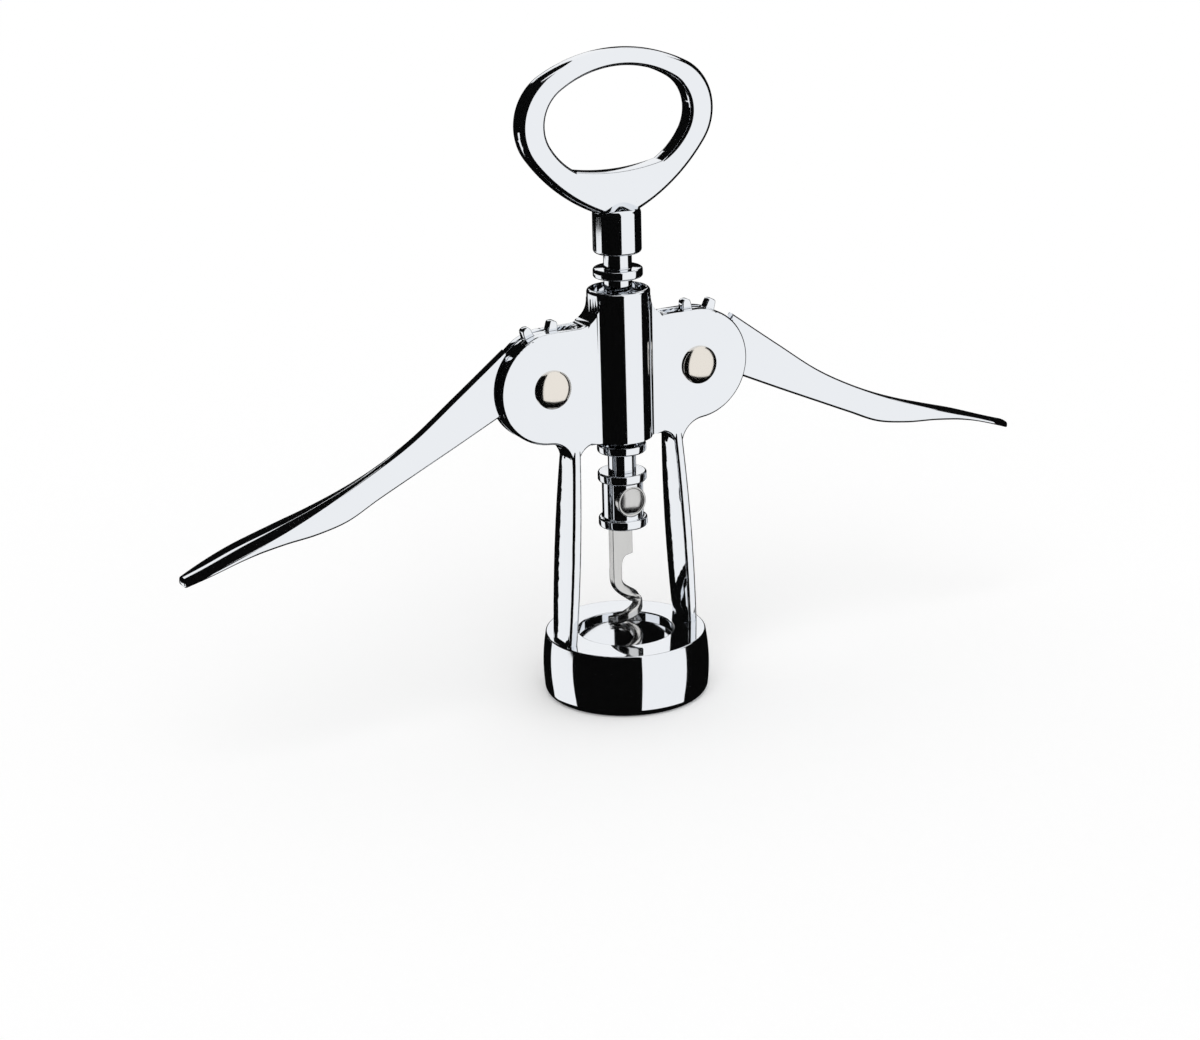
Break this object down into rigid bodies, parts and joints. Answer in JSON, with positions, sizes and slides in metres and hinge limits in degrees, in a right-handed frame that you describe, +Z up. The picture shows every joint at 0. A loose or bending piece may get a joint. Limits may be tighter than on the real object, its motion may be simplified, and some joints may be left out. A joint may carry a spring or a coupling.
{
  "type": "lever corkscrew",
  "caption": "Wing corkscrew: two geared levers on a slotted frame lift a ring rack that carries a worm, with a ring handle and a bell for the bottle's mouth.",
  "frame": {"origin": "centre of the bell's lower rim, on the surface that the tool stands on", "axes": "+Z up along the spindle, +X along the right lever, -Y out of the front cheek"},
  "size_m": [0.2272, 0.041, 0.1588],
  "materials": {
    "polished_chrome": "polished chrome plate",
    "satin_nickel": "satin nickel plate",
    "plain_steel": "plain drawn steel"
  },
  "bodies": {
    "frame": {"frame": "polished_chrome", "bell": "polished_chrome", "left_pivot_rivet": "satin_nickel", "right_pivot_rivet": "satin_nickel"},
    "left_lever": {"left_lever": "polished_chrome"},
    "right_lever": {"right_lever": "polished_chrome"},
    "rack": {"rack_spindle": "polished_chrome"},
    "handle": {"handle_ring": "polished_chrome", "drive_rod": "plain_steel", "worm_chuck": "polished_chrome", "worm_pin": "plain_steel", "worm": "plain_steel"}
  },
  "joints": [
    {"name": "left_lever_swing", "type": "hinge", "parent": "frame", "child": "left_lever", "pos_m": [-0.0199, 0, 0.0808], "axis": [0, -1, 0], "range_deg": [-67, 64]},
    {"name": "right_lever_swing", "type": "hinge", "parent": "frame", "child": "right_lever", "pos_m": [0.0199, 0, 0.0808], "axis": [0, 1, 0], "range_deg": [-67, 64]},
    {"name": "rack_lift", "type": "slide", "parent": "frame", "child": "rack", "axis": [0, 0, 1], "range_m": [-0.0183, 0.0175]},
    {"name": "handle_turn", "type": "hinge", "parent": "rack", "child": "handle", "pos_m": [0, 0, 0.1], "axis": [0, 0, 1], "continuous": true}
  ],
  "couplings": [
    {"joint": "rack_lift", "follows": "left_lever_swing", "m_per_rad": 0.015509},
    {"joint": "right_lever_swing", "follows": "left_lever_swing", "ratio": 1}
  ]
}
